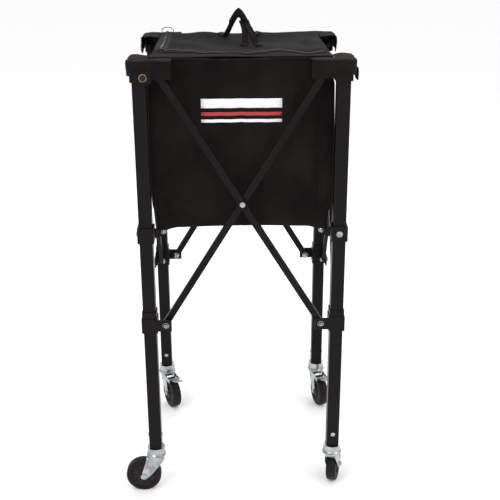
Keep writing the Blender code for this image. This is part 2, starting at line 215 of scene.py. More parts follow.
class Nodes:
    """A short way to write one material's node tree."""

    def __init__(self, name, colour, roughness, metallic=0.0, specular=0.5):
        self.material = bpy.data.materials.new(name)
        self.material.use_nodes = True
        self.tree = self.material.node_tree
        self.shader = self.tree.nodes["Principled BSDF"]
        self.shader.inputs["Base Color"].default_value = (*colour, 1.0)
        self.shader.inputs["Roughness"].default_value = roughness
        self.shader.inputs["Metallic"].default_value = metallic
        self.shader.inputs["Specular IOR Level"].default_value = specular
        self.place = self.tree.nodes.new("ShaderNodeTexCoord").outputs["Object"]

    def noise(self, scale, detail=3.0, stretch=None):
        node = self.tree.nodes.new("ShaderNodeTexNoise")
        node.inputs["Scale"].default_value = scale
        node.inputs["Detail"].default_value = detail
        source = self.place
        if stretch:
            mapping = self.tree.nodes.new("ShaderNodeMapping")
            mapping.inputs["Scale"].default_value = stretch
            self.tree.links.new(self.place, mapping.inputs["Vector"])
            source = mapping.outputs["Vector"]
        self.tree.links.new(source, node.inputs["Vector"])
        return node.outputs["Fac"]

    def threads(self, direction, period):
        """Ridges across a direction, one each period."""
        dot = self.tree.nodes.new("ShaderNodeVectorMath")
        dot.operation = "DOT_PRODUCT"
        dot.inputs[1].default_value = tuple(2 * math.pi / period * part for part in direction)
        self.tree.links.new(self.place, dot.inputs[0])
        return self.math("SINE", dot.outputs["Value"])

    def math(self, operation, first, second=0.0):
        node = self.tree.nodes.new("ShaderNodeMath")
        node.operation = operation
        for socket, value in zip(node.inputs, (first, second)):
            if isinstance(value, (int, float)):
                socket.default_value = value
            else:
                self.tree.links.new(value, socket)
        return node.outputs["Value"]

    def colours(self, factor, low, high, start=0.3, stop=0.7):
        ramp = self.tree.nodes.new("ShaderNodeValToRGB")
        ramp.color_ramp.elements[0].position = start
        ramp.color_ramp.elements[0].color = (*low, 1.0)
        ramp.color_ramp.elements[1].position = stop
        ramp.color_ramp.elements[1].color = (*high, 1.0)
        self.tree.links.new(factor, ramp.inputs["Fac"])
        self.tree.links.new(ramp.outputs["Color"], self.shader.inputs["Base Color"])

    def roughness(self, factor, low, high):
        node = self.tree.nodes.new("ShaderNodeMapRange")
        node.inputs["To Min"].default_value = low
        node.inputs["To Max"].default_value = high
        self.tree.links.new(factor, node.inputs["Value"])
        self.tree.links.new(node.outputs["Result"], self.shader.inputs["Roughness"])

    def bump(self, height, distance, strength=1.0):
        node = self.tree.nodes.new("ShaderNodeBump")
        node.inputs["Distance"].default_value = distance
        node.inputs["Strength"].default_value = strength
        self.tree.links.new(height, node.inputs["Height"])
        self.tree.links.new(node.outputs["Normal"], self.shader.inputs["Normal"])


def powder_coat():
    made = Nodes("powder_coat", (0.005, 0.004, 0.004), 0.4, specular=0.12)
    made.colours(made.noise(6.0), (0.0034, 0.0025, 0.0024), (0.0062, 0.0046, 0.0043))
    made.roughness(made.noise(45.0), 0.30, 0.46)
    made.bump(made.noise(900.0, 2.0), 0.00012, 0.7)
    return made.material


def zinc_plate():
    made = Nodes("zinc_plate", (0.45, 0.46, 0.47), 0.22, 1.0)
    made.colours(made.noise(60.0), (0.26, 0.27, 0.28), (0.52, 0.53, 0.54))
    made.roughness(made.noise(180.0), 0.12, 0.30)
    made.bump(made.noise(420.0, 2.0), 0.00010, 0.5)
    return made.material


def pressed_steel():
    made = Nodes("pressed_steel", (0.42, 0.42, 0.43), 0.35, 1.0)
    made.colours(made.noise(80.0), (0.20, 0.20, 0.21), (0.38, 0.38, 0.39))
    made.roughness(made.noise(220.0, stretch=(1.0, 1.0, 6.0)), 0.24, 0.45)
    made.bump(made.noise(500.0), 0.0001, 0.5)
    return made.material


def wheel_rubber():
    made = Nodes("wheel_rubber", (0.010, 0.008, 0.008), 0.6, specular=0.12)
    made.colours(made.noise(70.0), (0.0062, 0.0050, 0.0050), (0.0135, 0.0110, 0.0106))
    made.roughness(made.noise(120.0), 0.42, 0.62)
    made.bump(made.noise(650.0), 0.00018, 0.6)
    return made.material


def wheel_hub():
    made = Nodes("wheel_hub", (0.016, 0.014, 0.013), 0.45, specular=0.16)
    made.colours(made.noise(90.0), (0.0110, 0.0090, 0.0088), (0.0200, 0.0172, 0.0168))
    made.roughness(made.noise(150.0), 0.35, 0.5)
    made.bump(made.noise(500.0), 0.0001, 0.5)
    return made.material


def bag_cloth(name, warp, weft, low, high):
    """Black polyester: two thread directions, uneven dye and a faint sheen."""
    made = Nodes(name, low, 0.85, specular=0.05)
    weave = made.math("MULTIPLY", made.threads(warp, 0.0011), made.threads(weft, 0.0011))
    slub = made.noise(140.0, 2.0)
    height = made.math("ADD", weave, made.math("MULTIPLY", slub, 1.6))
    made.bump(height, 0.00022, 0.75)
    made.colours(made.math("ADD", made.noise(9.0, 4.0), made.math("MULTIPLY", weave, 0.10)), low, high)
    made.roughness(made.noise(30.0), 0.72, 0.92)
    made.shader.inputs["Sheen Weight"].default_value = 0.02
    made.shader.inputs["Sheen Roughness"].default_value = 0.5
    return made.material


def webbing():
    made = Nodes("webbing", (0.008, 0.007, 0.007), 0.8, specular=0.07)
    ribs = made.threads((0.35, 0.5, 0.8), 0.0017)
    made.bump(made.math("ADD", ribs, made.math("MULTIPLY", made.noise(300.0), 0.8)), 0.0003, 0.8)
    made.colours(made.noise(50.0), (0.0048, 0.0039, 0.0038), (0.0125, 0.0104, 0.0100))
    made.roughness(made.noise(60.0), 0.66, 0.86)
    made.shader.inputs["Sheen Weight"].default_value = 0.02
    return made.material


def print_ink(name, colour):
    made = Nodes(name, colour, 0.55)
    weave = made.math("MULTIPLY", made.threads((1, 0, 0), 0.0011), made.threads((0, 0, 1), 0.0011))
    made.bump(weave, 0.00015, 0.6)
    faded = tuple(0.86 * part for part in colour)
    made.colours(made.noise(260.0, 4.0), faded, colour, 0.35, 0.5)
    made.roughness(made.noise(90.0), 0.45, 0.6)
    return made.material


def brass_snap():
    made = Nodes("brass_snap", (0.45, 0.36, 0.25), 0.3, 1.0)
    made.colours(made.noise(200.0), (0.30, 0.24, 0.17), (0.60, 0.50, 0.38))
    made.roughness(made.noise(300.0), 0.2, 0.4)
    made.bump(made.noise(600.0), 0.0001, 0.4)
    return made.material


CLOTH_SHADES = ((0.0038, 0.0031, 0.0030), (0.0125, 0.0104, 0.0098))
PAINT = powder_coat()
ZINC = zinc_plate()
STEEL = pressed_steel()
RUBBER = wheel_rubber()
HUB = wheel_hub()
WALL_CLOTH = bag_cloth("bag_cloth_wall", (1, 1, 0), (0, 0, 1), *CLOTH_SHADES)
LID_CLOTH = bag_cloth("bag_cloth_lid", (1, 0, 0), (0, 1, 0.4), *CLOTH_SHADES)
SLEEVE_CLOTH = bag_cloth("sleeve_cloth", (1, 1, 0), (0, 0, 1), *CLOTH_SHADES)
WEBBING = webbing()
WHITE_INK = print_ink("white_ink", (0.78, 0.78, 0.80))
RED_INK = print_ink("red_ink", (0.42, 0.02, 0.025))
SNAP = brass_snap()


# ---- frame ----


def finish_cad_node(name, look, bevel=0.0):
    obj = bpy.data.objects[name]
    obj.data.materials.clear()
    obj.data.materials.append(look)
    if bevel:
        edge = obj.modifiers.new("edges", "BEVEL")
        edge.width = bevel
        edge.segments = 2
        edge.limit_method = "ANGLE"
        edge.angle_limit = math.radians(40)
        edge.harden_normals = True


def finish_frame():
    for corner in CORNERS:
        finish_cad_node(f"leg_{corner}", PAINT, 0.0016)
        for kind in ("top_bracket", "upper_collar", "sliding_collar"):
            finish_cad_node(f"{kind}_{corner}", PAINT, 0.0006)
        finish_cad_node(f"caster_stem_{corner}", ZINC, 0.001)
    for side in SIDES:
        finish_cad_node(f"outer_arm_{side}", PAINT, 0.0018)
        finish_cad_node(f"inner_arm_{side}", PAINT, 0.0018)
        finish_cad_node(f"centre_rivet_{side}", ZINC, 0.0006)
    for corner in CORNERS[2:]:
        finish_cad_node(f"brake_pedal_{corner}", STEEL, 0.0006)
    finish_cad_node("zipper_pull", STEEL, 0.0008)


def screw_head(name, point, outward, body, radius=0.0058, height=0.0036):
    """A domed cross-head screw standing on a surface, with a thin flange under it."""
    dome = [(radius * 1.12, 0.0), (radius * 1.12, 0.0006), (radius, 0.0008)]
    for step in range(1, 7):
        angle = math.radians(90 * step / 6)
        dome.append((radius * math.cos(angle), 0.0008 + (height - 0.0008) * math.sin(angle)))
    bm = turned([(0.0, 0.0), *dome], 28)
    head = from_bmesh(name, bm, ZINC)
    for turn in (0, 90):
        low, high = (-radius * 0.5, -0.0006, height - 0.0012), (radius * 0.5, 0.0006, 0.02)
        slot = from_bmesh("slot", rounded_box(low, high, 0.0002), ZINC)
        slot.rotation_euler.z = math.radians(turn + 35)
        cut = head.modifiers.new("slot", "BOOLEAN")
        cut.operation = "DIFFERENCE"
        cut.object = slot
        applied(head)
        bpy.data.objects.remove(slot)
    aim = Vector(outward).to_track_quat("Z", "Y").to_matrix().to_4x4()
    head.data.transform(Matrix.Translation(point) @ aim)
    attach(seat(head), body)
    return head


def build_screws():
    """Arm pivot screws on both lugs of each bracket, ear and collar screws, and two in each leg foot."""
    for index, corner in enumerate(CORNERS):
        spin = Matrix.Rotation(math.radians(90 * index), 3, "Z")
        front, left = spin @ Vector((0, -1, 0)), spin @ Vector((-1, 0, 0))
        for kind, z, body in (
            ("slider", PIVOT_LOW_Z, f"slider_{corner}"),
            ("bracket", PIVOT_TOP_Z, f"leg_{corner}"),
        ):
            spot = corner_place(index, (PIVOT_INSET, -COLLAR_FACE, z))
            screw_head(f"{kind}_screw_a_{corner}", spot, front, body)
            spot = corner_place(index, (-COLLAR_FACE, PIVOT_INSET, z))
            screw_head(f"{kind}_screw_b_{corner}", spot, left, body)
        nut_size = (f"slider_{corner}", 0.0062, 0.0042)
        nut = corner_place(index, (PIVOT_INSET, NUT_ON_INNER_ARM, PIVOT_LOW_Z))
        screw_head(f"slider_nut_a_{corner}", nut, -front, *nut_size)
        nut = corner_place(index, (NUT_ON_OUTER_ARM, PIVOT_INSET, PIVOT_LOW_Z))
        screw_head(f"slider_nut_b_{corner}", nut, -left, *nut_size)
        leg = f"leg_{corner}"
        for sign, tag in ((1, "a"), (-1, "b")):
            ear_out = spin @ Vector((sign, -sign, 0)).normalized()
            ear = corner_place(index, (EAR_AT + 0.0012 * sign, EAR_AT - 0.0012 * sign, EAR_Z))
            screw_head(f"ear_screw_{tag}_{corner}", ear, ear_out, leg, 0.0056, 0.0052)
        collar = corner_place(index, (-COLLAR_FACE, 0.0, COLLAR_SCREW_Z))
        screw_head(f"collar_screw_{corner}", collar, left, leg)
        for sign, tag in ((-1, "a"), (1, "b")):
            spot = corner_place(index, (sign * TUBE, 0.0, 0.136))
            screw_head(f"foot_screw_{tag}_{corner}", spot, spin @ Vector((sign, 0, 0)), leg, 0.0044, 0.0032)


# ---- casters ----


def wheel_profile():
    """Half section of the wheel, (radius, across): recessed side, rim step and rounded tread."""
    half = 0.011
    side = [(0.0046, half + 0.0006), (0.0105, half + 0.0006)]
    side += [(0.0118, half - 0.0004), (0.0130, half - 0.0030)]
    side += [(0.0235, half - 0.0034), (0.0250, half - 0.0016), (0.0262, half - 0.0002), (0.0335, half)]
    for step in range(1, 7):
        angle = math.radians(90 * step / 6)
        side.append((0.0335 + 0.0044 * math.sin(angle), half - 0.0036 + 0.0036 * math.cos(angle)))
    return side


def build_wheel(corner):
    side = wheel_profile()
    bm = turned(side + [(radius, -across) for radius, across in reversed(side)], 72, "Y")
    wheel = from_bmesh(f"wheel_{corner}", bm, RUBBER)
    wheel.data.materials.append(HUB)
    for face in wheel.data.polygons:
        if math.hypot(face.center.x, face.center.z) < 0.0245:
            face.material_index = 1
    return wheel


def build_spokes(corner):
    """Low moulded ribs on both recessed sides of the wheel."""
    ribs = []
    for sign in (-1, 1):
        for step in range(8):
            bm = rounded_box((0.0112, 0.0066, -0.0009), (0.0242, 0.0092, 0.0009), 0.0004)
            rib = from_bmesh("rib", bm, HUB)
            spin = Matrix.Rotation(math.radians(45 * step), 4, "Y")
            rib.data.transform(spin @ Matrix.Diagonal((1, sign, 1, 1)))
            if sign < 0:
                rib.data.flip_normals()
            ribs.append(rib)
    return joined(f"wheel_ribs_{corner}", ribs)


def fork_shell(corner, braked):
    """A pressed fork in one sheet: two tapering cheeks and a domed crown under the swivel race."""
    bm = bmesh.new()
    trail, axle_z, crown_z = 0.029, 0.038, 0.0832
    half = 0.0139
    rows = []
    steps = 9
    for row in range(17):
        across = -1 + 2 * row / 16
        angle = across * math.pi / 2
        side = math.copysign(abs(math.sin(angle)) ** 0.35, angle) if angle else 0.0
        y = half * side
        drop = abs(across)
        down = max(0.0, (drop - 0.42) / 0.58)
        if drop <= 0.42:
            z = crown_z - 0.0035 * (drop / 0.42) ** 2
        else:
            z = crown_z - 0.0035 - (crown_z - axle_z + 0.0055) * down
        centre = -0.002 - (trail - 0.002) * down
        width = 0.0200 * (1 - down) + 0.0085 * down
        if down > 0.86:
            width *= math.sqrt(max(0.05, 1 - ((down - 0.86) / 0.145) ** 2))
        line = []
        for step in range(steps):
            t = -1 + 2 * step / (steps - 1)
            line.append(bm.verts.new((centre + width * t, y, z - 0.0012 * t * t * (1 - down))))
        rows.append(line)
    for first, second in zip(rows, rows[1:]):
        for step in range(steps - 1):
            bm.faces.new((first[step], first[step + 1], second[step + 1], second[step]))
    fork = from_bmesh(f"fork_{corner}", bm, ZINC)
    thick = fork.modifiers.new("sheet", "SOLIDIFY")
    thick.thickness = 0.0022
    thick.offset = 0.0
    smooth = fork.modifiers.new("smooth", "SUBSURF")
    smooth.levels = smooth.render_levels = 2
    applied(fork)
    pieces = [fork]
    race = [(0.0, 0.0835), (0.0150, 0.0835), (0.0206, 0.0850), (0.0212, 0.0872), (0.0206, 0.0892)]
    race += [(0.0188, 0.0900), (0.0184, 0.0906), (0.0196, 0.0914), (0.0200, 0.0926), (0.0190, 0.0936)]
    race.append((0.0, 0.0938))
    pieces.append(from_bmesh("race", turned(race, 48), ZINC))
    nut = [(0.0, 0.0), (0.0062, 0.0), (0.0062, 0.0022), (0.0050, 0.0030)]
    nut += [(0.0032, 0.0032), (0.0030, 0.0044), (0.0, 0.0047)]
    for sign in (-1, 1):
        end = from_bmesh("axle_end", turned(nut, 24), ZINC)
        aim = Vector((0, sign, 0)).to_track_quat("Z", "Y").to_matrix().to_4x4()
        end.data.transform(Matrix.Translation((-trail, sign * 0.0148, axle_z)) @ aim)
        pieces.append(end)
    if braked:
        for sign in (-1, 1):
            low, high = sorted((sign * 0.0128, sign * 0.0150))
            ear = rounded_box((-0.048, low, 0.0745), (-0.012, high, 0.0840), 0.0009)
            pieces.append(from_bmesh("ear", ear, ZINC))
    return joined(f"caster_fork_look_{corner}", pieces)


def build_casters():
    for index, corner in enumerate(CORNERS):
        joint = next(j for j in frame["record"]["behaviour"]["joints"] if j["name"] == f"wheel_spin_{corner}")
        leg = corner_place(index, (0, 0, 0))
        axle = Vector(joint["pos_m"]) - MIDDLE
        heading = math.atan2(axle.y - leg.y, axle.x - leg.x) - math.pi
        aim = Matrix.Rotation(heading, 4, "Z")
        wheel = build_wheel(corner)
        ribs = build_spokes(corner)
        for piece in (wheel, ribs):
            piece.data.transform(Matrix.Translation(axle) @ aim)
            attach(seat(piece), f"wheel_{corner}")
        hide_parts(f"caster_wheel_{corner}")
        fork = fork_shell(corner, index in (2, 3))
        fork.data.transform(Matrix.Translation((leg.x, leg.y, 0)) @ aim)
        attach(seat(fork), f"fork_{corner}")
        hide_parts(f"caster_fork_{corner}")


# ---- bag walls and floor ----

WALL_REGIONS = {0: "front", 1: "right", 2: "back", 3: "left", 4: "floor_front", 5: "floor_rear"}
REGION_BODY = {
    0: ("leg_front_left", (1, 0, 0), "bag_panel_front"),
    1: ("leg_front_right", (0, 1, 0), "bag_panel_right"),
    2: ("leg_back_left", (1, 0, 0), "bag_panel_back"),
    3: ("leg_front_left", (0, 1, 0), "bag_panel_left"),
    4: ("floor_front", (1, 0, 0), "bag_floor_front"),
    5: ("floor_rear", (1, 0, 0), "bag_floor_rear"),
}
GRID = 40


def bag_grid():
    """An open box of quads: four walls and a floor, each face marked with its region."""
    bm = bmesh.new()
    found = {}
    rows = 38
    half = BAG - 0.0015
    low = FLOOR_Z + 0.0015

    def vert(x, y, z):
        key = (round(x, 5), round(y, 5), round(z, 5))
        if key not in found:
            found[key] = bm.verts.new((x, y, z))
        return found[key]

    def side_point(side, along, z):
        x = -half + 2 * half * along
        return ((x, -half), (half, x), (-x, half), (-half, -x))[side] + (z,)

    for side in range(4):
        for column in range(GRID):
            for row in range(rows):
                corners = []
                for a, b in ((0, 0), (1, 0), (1, 1), (0, 1)):
                    z = low + (RIM - low) * (row + b) / rows
                    corners.append(vert(*side_point(side, (column + a) / GRID, z)))
                bm.faces.new(corners).material_index = side
    for column in range(GRID):
        for row in range(GRID):
            corners = []
            for a, b in ((0, 0), (0, 1), (1, 1), (1, 0)):
                x = -half + 2 * half * (column + a) / GRID
                y = -half + 2 * half * (row + b) / GRID
                corners.append(vert(x, y, low))
            bm.faces.new(corners).material_index = 4 if row < GRID // 2 else 5
    mesh = bpy.data.meshes.new("bag_shell")
    bm.to_mesh(mesh)
    bm.free()
    return link(bpy.data.objects.new("bag_shell", mesh))


def smooth_step(value, low, high):
    t = min(1.0, max(0.0, (value - low) / (high - low)))
    return t * t * (3 - 2 * t)


def pre_shape(mesh):
    """Droops the bottom corners to their ears, and gives each wall the folds that hang from its corners."""
    half = BAG - 0.0015
    for vert in mesh.vertices:
        x, y, z = vert.co
        down = 1 - (z - FLOOR_Z) / (RIM - FLOOR_Z)
        near_x, near_y = half - abs(x), half - abs(y)
        corner = math.exp(-(near_x + near_y) / 0.035)
        vert.co.z -= 0.014 * corner * max(0.0, down - 0.7) / 0.3
        wall_y = near_y < near_x
        along = x if wall_y else y
        inset = half - abs(along)
        fold = math.exp(-((inset - 0.030) / 0.013) ** 2) - 0.7 * math.exp(-((inset - 0.058) / 0.016) ** 2)
        ripple = 0.35 * math.sin(along * 31 + 1.7) * math.sin(z * 17 + along * 9)
        depth = 0.0060 * fold * (0.35 + 0.65 * down) + 0.0026 * ripple
        if min(near_x, near_y) < 0.002 and z > FLOOR_Z + 0.02:
            if wall_y:
                vert.co.y -= math.copysign(depth, y)
            else:
                vert.co.x -= math.copysign(depth, x)
        full = smooth_step(z, FLOOR_Z + 0.022, FLOOR_Z + 0.05)
        full *= 1 - smooth_step(z, RIM - 0.045, RIM - 0.022)
        vert.co.x *= 1 + 0.045 * full
        vert.co.y *= 1 + 0.022 * full


def drape(shell):
    """Cloth simulation held by the rim and the four bottom corners, with the drift of each point capped."""
    mesh = shell.data
    start = np.array([v.co for v in mesh.vertices])
    held = shell.vertex_groups.new(name="held")
    half = BAG - 0.0015
    for vert in mesh.vertices:
        x, y, z = vert.co
        near = (half - abs(x)) + (half - abs(y))
        if z > RIM - 0.004:
            held.add([vert.index], 1.0, "REPLACE")
        elif near < 0.012 and z < FLOOR_Z + 0.02:
            held.add([vert.index], 1.0, "REPLACE")
        elif near < 0.006:
            held.add([vert.index], 0.25, "REPLACE")
    cloth = shell.modifiers.new("cloth", "CLOTH")
    cloth.settings.quality = 6
    cloth.settings.mass = 0.35
    cloth.settings.tension_stiffness = cloth.settings.compression_stiffness = 25
    cloth.settings.shear_stiffness = 12
    cloth.settings.bending_stiffness = 1.2
    cloth.settings.vertex_group_mass = "held"
    cloth.settings.shrink_min = -0.020
    cloth.collision_settings.use_collision = False
    cloth.point_cache.frame_start, cloth.point_cache.frame_end = 1, DRAPE_FRAMES
    for step in range(1, DRAPE_FRAMES + 1):
        bpy.context.scene.frame_set(step)
    applied(shell)
    bpy.context.scene.frame_set(1)
    end = np.array([v.co for v in shell.data.vertices])
    move = end - start
    length = np.linalg.norm(move, axis=1, keepdims=True)
    end = start + move * np.minimum(1.0, DRAPE_CAP / np.maximum(length, 1e-9))
    for axis, outer in enumerate((BAG + 0.0105, BAG + 0.0085)):
        end[:, axis] = np.clip(end[:, axis], -outer, outer)
    for vert, point in zip(shell.data.vertices, end):
        vert.co = point


def split_regions(shell):
    """One object for each region of the shell, cut along the seams."""
    made = {}
    for region in WALL_REGIONS:
        bm = bmesh.new()
        bm.from_mesh(shell.data)
        dropped = [face for face in bm.faces if face.material_index != region]
        bmesh.ops.delete(bm, geom=dropped, context="FACES")
        for face in bm.faces:
            face.material_index = 0
            face.smooth = True
        mesh = bpy.data.meshes.new(f"bag_{WALL_REGIONS[region]}_cloth")
        bm.to_mesh(mesh)
        bm.free()
        mesh.materials.append(WALL_CLOTH)
        made[region] = link(bpy.data.objects.new(mesh.name, mesh))
    return made


def build_bag():
    shell = bag_grid()
    pre_shape(shell.data)
    drape(shell)
    fine = shell.modifiers.new("fine", "SUBSURF")
    fine.levels = fine.render_levels = 1
    applied(shell)
    thick = shell.modifiers.new("cloth_thickness", "SOLIDIFY")
    thick.thickness = 0.0016
    thick.offset = -1.0
    applied(shell)
    walls = split_regions(shell)
    bpy.data.objects.remove(shell)
    return walls


def ride_walls(walls):
    for region, piece in walls.items():
        body, axis, node = REGION_BODY[region]
        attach(seat(piece), body)
        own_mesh(piece)
        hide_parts(node)


def ride_soft(piece, body, axis, slot="bag_cloth", *nodes):
    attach(seat(piece), body)
    if axis:
        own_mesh(piece)
    if nodes:
        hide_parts(*nodes)


# ---- rim piping ----


def tube_along(name, points, radius, look, sides=8):
    """A round tube through a list of points."""
    bm = bmesh.new()
    rings = []
    count = len(points)
    for index, point in enumerate(points):
        before, after = Vector(points[max(index - 1, 0)]), Vector(points[min(index + 1, count - 1)])
        aim = (after - before).to_track_quat("Z", "Y").to_matrix()
        ring = []
        for step in range(sides):
            angle = 2 * math.pi * step / sides
            spoke = Vector((radius * math.cos(angle), radius * math.sin(angle), 0))
            ring.append(bm.verts.new(Vector(point) + aim @ spoke))
        rings.append(ring)
    for first, second in zip(rings, rings[1:]):
        for step in range(sides):
            after = (step + 1) % sides
            bm.faces.new((first[step], first[after], second[after], second[step]))
    bm.faces.new(rings[0])
    bm.faces.new(rings[-1])
    return from_bmesh(name, bm, look)


def rim_point(side, along):
    """A point of the rim: slightly wavy, lowest between the corners."""
    half = BAG - 0.001
    x = -half + 2 * half * along
    sag = -0.0022 * math.sin(math.pi * along) + 0.0012 * math.sin(11 * along + side)
    px, py = ((x, -half), (half, x), (-x, half), (-half, -x))[side]
    return (px, py, RIM + 0.0005 + sag)


def build_piping():
    for side, name in enumerate(SIDES):
        points = [rim_point(side, step / 48) for step in range(49)]
        piping = tube_along(f"rim_piping_{name}", points, 0.0024, WEBBING)
        body, axis, _ = REGION_BODY[side]
        ride_soft(piping, body, axis, "webbing")


# ---- lid and zipper ----


def lid_height(x, y):
    """The lid's own surface: it sags between the corners and puckers along the zipper."""
    u, v = x / BAG, y / BAG
    edge = max(0.0, 1 - max(abs(u), abs(v)))
    sag = -0.007 * math.cos(u * math.pi / 2) ** 0.7 * (0.5 + 0.5 * math.cos(v * math.pi)) * min(1.0, edge * 4)
    wave = 0.0034 * math.sin(9.0 * u + 3.0 * v) * math.sin(5.0 * v - 2.0 * u) * min(1.0, edge * 5)
    crease = 0.0016 * math.sin(26 * u + 4 * math.sin(6 * v)) * math.exp(-((v + 0.55) / 0.16) ** 2)
    flat = smooth_step(v, 0.88, 0.96)
    corner = 0.006 * math.exp(-((1 - abs(u)) ** 2 + (1 - v) ** 2) / 0.05) * (1 - flat)
    ridge = 0.0052 * math.exp(-((v - 0.80) / 0.16) ** 2)
    return LID_Z + 0.0036 + sag + wave + crease + corner + ridge * min(1.0, edge * 6)


def lid_sheet(name, y_low, y_high):
    half = BAG - 0.0015
    bm = bmesh.new()
    columns = 84
    rows = max(3, int((y_high - y_low) / 0.004))
    grid = []
    for row in range(rows + 1):
        y = y_low + (y_high - y_low) * row / rows
        line = []
        for column in range(columns + 1):
            x = -half + 2 * half * column / columns
            line.append(bm.verts.new((x, y, lid_height(x, y))))
        grid.append(line)
    for first, second in zip(grid, grid[1:]):
        for column in range(columns):
            bm.faces.new((first[column], first[column + 1], second[column + 1], second[column]))
    sheet = from_bmesh(name, bm, LID_CLOTH)
    thick = sheet.modifiers.new("cloth_thickness", "SOLIDIFY")
    thick.thickness = 0.0016
    thick.offset = -1.0
    return applied(sheet)


def zipper_route():
    """The zipper's line on the lid: from the back left, round the front left, along the front."""
    left, front, radius = -0.158, -0.118, 0.050
    points = [(left, 0.150 - 0.006 * step) for step in range(36) if 0.150 - 0.006 * step > front + radius]
    for step in range(1, 13):
        angle = math.radians(180 + 90 * step / 12)
        points.append((left + radius + radius * math.cos(angle), front + radius + radius * math.sin(angle)))
    x = left + radius
    while x < 0.162:
        x += 0.006
        points.append((x, front - 0.012 * max(0.0, (x - 0.03) / 0.13) ** 2))
    return points


def evenly(points, spacing):
    """Points at an even spacing along a route, each with its direction."""
    flat = np.array(points)
    steps = np.linalg.norm(np.diff(flat, axis=0), axis=1)
    far = np.concatenate([[0], np.cumsum(steps)])
    spots = np.arange(0, far[-1], spacing)
    xs, ys = np.interp(spots, far, flat[:, 0]), np.interp(spots, far, flat[:, 1])
    dx, dy = np.gradient(xs), np.gradient(ys)
    return [(x, y, math.atan2(b, a)) for x, y, a, b in zip(xs, ys, dx, dy)]


def zipper_part(tag, keep, body):
    route = [spot for spot in evenly(zipper_route(), 0.0026) if keep(spot[1])]
    bm = bmesh.new()
    rows = []
    widths = (-0.0125, -0.0118, -0.0050, -0.0020, 0.0020, 0.0050, 0.0118, 0.0125)
    lifts = (0.0002, 0.0014, 0.0013, 0.0012, 0.0012, 0.0013, 0.0014, 0.0002)
    for x, y, angle in route:
        line = []
        for width, lift in zip(widths, lifts):
            px, py = x - width * math.sin(angle), y + width * math.cos(angle)
            line.append(bm.verts.new((px, py, lid_height(px, py) + lift)))
        rows.append(line)
    for first, second in zip(rows, rows[1:]):
        for index in range(len(widths) - 1):
            bm.faces.new((first[index], first[index + 1], second[index + 1], second[index]))
    tape = from_bmesh(f"zipper_tape_{tag}", bm, WEBBING)
    thick = tape.modifiers.new("tape_thickness", "SOLIDIFY")
    thick.thickness = 0.0008
    applied(tape)
    bm = bmesh.new()
    for number, (x, y, angle) in enumerate(route):
        side = 1 if number % 2 else -1
        centre = Vector((
            x - side * 0.0007 * math.sin(angle),
            y + side * 0.0007 * math.cos(angle),
            lid_height(x, y) + 0.0022,
        ))
        turn = Matrix.Rotation(angle, 4, "Z")
        size = Matrix.Diagonal((0.0019, 0.0034, 0.0016, 1.0))
        bmesh.ops.create_cube(bm, size=1.0, matrix=Matrix.Translation(centre) @ turn @ size)
    teeth = from_bmesh(f"zipper_teeth_{tag}", bm, HUB, smooth=False)
    for piece in (tape, teeth):
        ride_soft(piece, body, (1, 0, 0), "webbing")


def build_lid():
    low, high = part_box("lid_rear")
    hem_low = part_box("lid_hem")[0][1]
    front = lid_sheet("lid_front_cloth", -BAG + 0.001, 0.0)
    rear = lid_sheet("lid_rear_cloth", 0.0, (high[1] + hem_low) / 2)
    hem = lid_sheet("lid_hem_cloth", (high[1] + hem_low) / 2, BAG - 0.001)
    ride_soft(front, "lid_front", (1, 0, 0), "bag_cloth", "lid_front")
    ride_soft(rear, "lid_rear", (1, 0, 0), "bag_cloth", "lid_rear")
    ride_soft(hem, "lid_hem", (1, 0, 0), "bag_cloth", "lid_hem")
    zipper_part("front", lambda y: y <= 0.0, "lid_front")
    zipper_part("rear", lambda y: y >= -0.002, "lid_rear")


def build_pull_cord():
    """The thin loop on the zipper slider."""
    low, high = seated_box("zipper_pull")
    x, y, z = (low[0] + high[0]) / 2, (low[1] + high[1]) / 2, high[2]
    points = []
    for step in range(25):
        angle = math.radians(-60 + 300 * step / 24)
        points.append((x + 0.004 + 0.013 * math.cos(angle), y + 0.004, z + 0.005 + 0.0075 * math.sin(angle)))
    loop = tube_along("zipper_pull_loop", points, 0.0008, WEBBING, 8)
    ride_soft(loop, "zipper_pull", None, "webbing")


# ---- corner sleeves ----


def sleeve_outline():
    """Plan of the sleeve's outer face from the leg axis: along the left, round the corner, the front."""
    out, inside, radius = -0.0225, 0.062, 0.015
    points = [(out, inside - step * (inside - out - radius) / 14) for step in range(15)]
    for step in range(1, 8):
        angle = math.radians(180 + 90 * step / 7)
        points.append((out + radius + radius * math.cos(angle), out + radius + radius * math.sin(angle)))
    points += [(out + radius + step * (inside - out - radius) / 14, out) for step in range(1, 15)]
    return points


